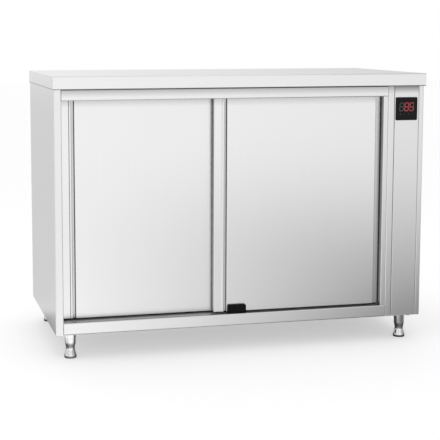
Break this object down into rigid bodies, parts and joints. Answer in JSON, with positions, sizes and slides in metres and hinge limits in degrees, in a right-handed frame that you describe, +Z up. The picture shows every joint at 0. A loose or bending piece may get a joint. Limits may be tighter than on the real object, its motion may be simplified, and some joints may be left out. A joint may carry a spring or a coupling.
{
  "type": "heated plate cabinet",
  "caption": "Low heated cabinet for plates, with a flat worktop, two overlapping top-hung sliding doors, a shelf, a fan heater behind a side cover and levelling feet.",
  "frame": {"origin": "on the floor, under the centre of the worktop", "axes": "+X along the width, towards the controls; front towards -Y; +Z up"},
  "size_m": [1.2, 0.6, 0.87],
  "materials": {
    "satin_steel": "satin",
    "room_steel": "mill finish",
    "galvanised": "zinc",
    "screws": "bright",
    "display": "polished",
    "black_plastic": "moulded",
    "mineral_wool": "fibrous",
    "track": "extruded",
    "motor": "semi gloss",
    "bright_shaft": "ground",
    "heater": "heat darkened",
    "terminals": "moulded",
    "polished_legs": "polished",
    "rubber_stops": "matt"
  },
  "bodies": {
    "cabinet": {"worktop": "satin_steel", "worktop_stiffeners": "galvanised", "side_panel_left": "satin_steel", "side_panel_right": "satin_steel", "back_panel": "satin_steel", "back_screws": "screws", "base_pan": "room_steel", "floor_plate": "room_steel", "bottom_rail": "satin_steel", "header_rail": "satin_steel", "front_post": "satin_steel", "jamb_strip": "satin_steel", "control_cover": "satin_steel", "display_glass": "display", "controller_housing": "black_plastic", "liner_left": "room_steel", "liner_back": "room_steel", "liner_top": "room_steel", "partition": "room_steel", "insulation_left": "mineral_wool", "insulation_back": "mineral_wool", "insulation_top": "mineral_wool", "insulation_floor": "mineral_wool", "insulation_partition": "mineral_wool", "shelf": "room_steel", "shelf_rail_left": "room_steel", "shelf_rail_right": "room_steel", "door_track": "track", "door_guide": "black_plastic", "air_baffle": "room_steel", "fan_motor": "motor", "heating_ring": "heater", "temperature_probe": "bright_shaft", "terminal_block": "terminals", "cable_gland": "black_plastic", "leg_sockets": "polished_legs", "leg_screws": "screws"},
    "left_door": {"left_door_skin": "satin_steel", "left_door_back": "room_steel", "left_door_core": "mineral_wool", "left_door_caps": "room_steel", "left_door_hangers": "galvanised", "left_door_bumpers": "rubber_stops"},
    "right_door": {"right_door_skin": "satin_steel", "right_door_back": "room_steel", "right_door_core": "mineral_wool", "right_door_caps": "room_steel", "right_door_hangers": "galvanised", "right_door_bumpers": "rubber_stops"},
    "left_wheelset_a": {"left_wheels_a": "black_plastic"},
    "left_wheelset_b": {"left_wheels_b": "black_plastic"},
    "right_wheelset_a": {"right_wheels_a": "black_plastic"},
    "right_wheelset_b": {"right_wheels_b": "black_plastic"},
    "fan_rotor": {"fan_shaft": "bright_shaft", "fan_impeller": "galvanised"},
    "levelling_foot_front_left": {"foot_front_left": "polished_legs"},
    "levelling_foot_front_right": {"foot_front_right": "polished_legs"},
    "levelling_foot_rear_left": {"foot_rear_left": "polished_legs"},
    "levelling_foot_rear_right": {"foot_rear_right": "polished_legs"}
  },
  "joints": [
    {"name": "left_door_slide", "type": "slide", "parent": "cabinet", "child": "left_door", "axis": [1, 0, 0], "range_m": [0, 0.476]},
    {"name": "right_door_slide", "type": "slide", "parent": "cabinet", "child": "right_door", "axis": [1, 0, 0], "range_m": [-0.476, 0]},
    {"name": "left_wheels_a_roll", "type": "hinge", "parent": "left_door", "child": "left_wheelset_a", "pos_m": [-0.512, -0.237, 0.81255], "axis": [0, 1, 0], "range_deg": [0, 3420]},
    {"name": "left_wheels_b_roll", "type": "hinge", "parent": "left_door", "child": "left_wheelset_b", "pos_m": [-0.077, -0.237, 0.81255], "axis": [0, 1, 0], "range_deg": [0, 3420]},
    {"name": "right_wheels_a_roll", "type": "hinge", "parent": "right_door", "child": "right_wheelset_a", "pos_m": [-0.036, -0.261, 0.81255], "axis": [0, 1, 0], "range_deg": [-3420, 0]},
    {"name": "right_wheels_b_roll", "type": "hinge", "parent": "right_door", "child": "right_wheelset_b", "pos_m": [0.399, -0.261, 0.81255], "axis": [0, 1, 0], "range_deg": [-3420, 0]},
    {"name": "fan_spin", "type": "hinge", "parent": "cabinet", "child": "fan_rotor", "pos_m": [0.451, 0.04, 0.283], "axis": [1, 0, 0], "continuous": true},
    {"name": "foot_front_left_thread", "type": "slide", "parent": "cabinet", "child": "levelling_foot_front_left", "axis": [0, 0, -1], "range_m": [0, 0.025]},
    {"name": "foot_front_right_thread", "type": "slide", "parent": "cabinet", "child": "levelling_foot_front_right", "axis": [0, 0, -1], "range_m": [0, 0.025]},
    {"name": "foot_rear_left_thread", "type": "slide", "parent": "cabinet", "child": "levelling_foot_rear_left", "axis": [0, 0, -1], "range_m": [0, 0.025]},
    {"name": "foot_rear_right_thread", "type": "slide", "parent": "cabinet", "child": "levelling_foot_rear_right", "axis": [0, 0, -1], "range_m": [0, 0.025]}
  ],
  "couplings": [
    {"joint": "left_wheels_a_roll", "follows": "left_door_slide", "rad_per_m": 125},
    {"joint": "left_wheels_b_roll", "follows": "left_door_slide", "rad_per_m": 125},
    {"joint": "right_wheels_a_roll", "follows": "right_door_slide", "rad_per_m": 125},
    {"joint": "right_wheels_b_roll", "follows": "right_door_slide", "rad_per_m": 125}
  ]
}
